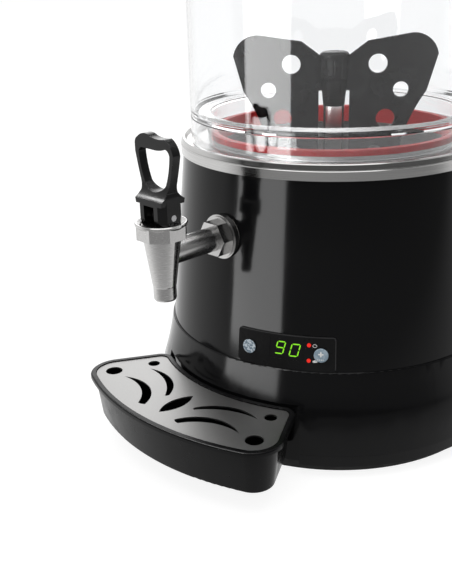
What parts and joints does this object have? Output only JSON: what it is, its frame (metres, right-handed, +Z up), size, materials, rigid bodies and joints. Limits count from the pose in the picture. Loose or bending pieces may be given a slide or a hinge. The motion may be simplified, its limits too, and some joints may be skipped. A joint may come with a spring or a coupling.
{
  "type": "hot chocolate dispenser",
  "caption": "Heated drink dispenser with a clear lidded bowl over a tapered casing, a stirrer, a lever tap at the front and a drip tray in the base.",
  "frame": {"origin": "on the casing's axis, in the plane of the foot ring's underside", "axes": "+Z up along the casing's axis, -Y towards the front, where the tap and the drip tray are, +X to the user's right"},
  "size_m": [0.338, 0.415, 0.4903],
  "materials": {
    "gloss_black": "high-gloss black moulding",
    "foot_rubber": "matte black rubber",
    "zinc_plate": "plain zinc-plated sheet",
    "screw_steel": "plain steel",
    "brushed_steel": "satin stainless steel",
    "pin_steel": "bright steel",
    "heater_aluminium": "plain cast plate",
    "element_steel": "dull steel tube",
    "motor_grey": "plain grey case",
    "clear_bowl": "clear, polished",
    "red_silicone": "soft red silicone",
    "seal_silicone": "translucent white silicone",
    "bush_plastic": "off-white plastic",
    "stirrer_plastic": "satin black plastic",
    "handle_plastic": "satin black plastic",
    "jacket_wool": "pale mineral felt",
    "panel_grey": "satin dark grey",
    "window_dark": "smoked window",
    "button_blue": "pale blue-grey, satin",
    "lamp_red": "clear red lens",
    "board_green": "green laminate",
    "inlet_black": "fine-grained black plastic",
    "tray_black": "satin black plastic"
  },
  "bodies": {
    "machine": {"foot_ring": "foot_rubber", "base_pan": "zinc_plate", "base_screws": "screw_steel", "base_ring": "gloss_black", "casing_screws": "screw_steel", "casing": "gloss_black", "trim_ring": "brushed_steel", "inner_tank": "brushed_steel", "bowl_gasket": "red_silicone", "shaft_tube": "brushed_steel", "column_seal": "seal_silicone", "shaft_bushes": "bush_plastic", "motor_posts": "zinc_plate", "motor_plate": "zinc_plate", "gear_motor": "motor_grey", "motor_screws": "screw_steel", "heater_plate": "heater_aluminium", "heating_element": "element_steel", "thermostat": "zinc_plate", "insulation_jacket": "jacket_wool", "tap_body": "brushed_steel", "bonnet_nut": "brushed_steel", "tap_collar": "handle_plastic", "shank_seal": "seal_silicone", "tap_washer": "brushed_steel", "tap_flange": "brushed_steel", "tap_hex_nut": "brushed_steel", "tank_seal": "seal_silicone", "tank_locknut": "brushed_steel", "panel_bezel": "panel_grey", "display_window": "window_dark", "indicator_lamps": "lamp_red", "control_board": "board_green", "power_inlet": "inlet_black", "inlet_pins": "pin_steel", "switch_frame": "inlet_black", "tap_spring": "brushed_steel"},
    "valve": {"tap_stem": "brushed_steel", "seat_cup": "seal_silicone"},
    "lever": {"tap_handle": "handle_plastic", "tap_pin": "pin_steel"},
    "shaft": {"drive_shaft": "brushed_steel"},
    "paddle": {"stirrer": "stirrer_plastic"},
    "bowl": {"bowl": "clear_bowl"},
    "cover": {"lid": "clear_bowl", "lid_knob": "handle_plastic", "lid_screw": "screw_steel"},
    "tray": {"drip_tray": "tray_black"},
    "grid": {"drip_grid": "brushed_steel"},
    "set_key": {"set_button": "button_blue"},
    "plus_key": {"plus_button": "button_blue"},
    "rocker": {"rocker_switch": "inlet_black"}
  },
  "joints": [
    {"name": "stem_lift", "type": "slide", "parent": "machine", "child": "valve", "axis": [0, 0, 1], "range_m": [0, 0.00615], "deforming": ["tap_spring"]},
    {"name": "handle_tilt", "type": "hinge", "parent": "valve", "child": "lever", "pos_m": [0, -0.212, 0.2347], "axis": [1, 0, 0], "range_deg": [0, 60], "stiffness_Nm_per_rad": 0.25, "springref_deg": -17.19},
    {"name": "shaft_spin", "type": "hinge", "parent": "machine", "child": "shaft", "pos_m": [0, 0, 0.175], "axis": [0, 0, 1], "continuous": true},
    {"name": "stirrer_lift", "type": "slide", "parent": "shaft", "child": "paddle", "axis": [0, 0, 1], "range_m": [0, 0.06]},
    {"name": "bowl_lift", "type": "slide", "parent": "machine", "child": "bowl", "axis": [0, 0, 1], "range_m": [0, 0.16]},
    {"name": "lid_lift", "type": "slide", "parent": "bowl", "child": "cover", "axis": [0, 0, 1], "range_m": [0, 0.12]},
    {"name": "tray_pull", "type": "slide", "parent": "machine", "child": "tray", "axis": [0, -1, 0], "range_m": [0, 0.12]},
    {"name": "grid_lift", "type": "slide", "parent": "tray", "child": "grid", "axis": [0, 0, 1], "range_m": [0, 0.05]},
    {"name": "set_button_press", "type": "slide", "parent": "machine", "child": "set_key", "axis": [-0.23, 0.9732, 0], "range_m": [0, 0.0012], "stiffness_N_per_m": 1500, "springref_m": -0.0003},
    {"name": "plus_button_press", "type": "slide", "parent": "machine", "child": "plus_key", "axis": [-0.5976, 0.8018, 0], "range_m": [0, 0.0012], "stiffness_N_per_m": 1500, "springref_m": -0.0003},
    {"name": "rocker_tilt", "type": "hinge", "parent": "machine", "child": "rocker", "pos_m": [-0.06992, 0.13722, 0.118], "axis": [0.891, 0.454, 0], "range_deg": [0, 16]}
  ],
  "couplings": [
    {"joint": "handle_tilt", "follows": "stem_lift", "rad_per_m": 169.49}
  ]
}
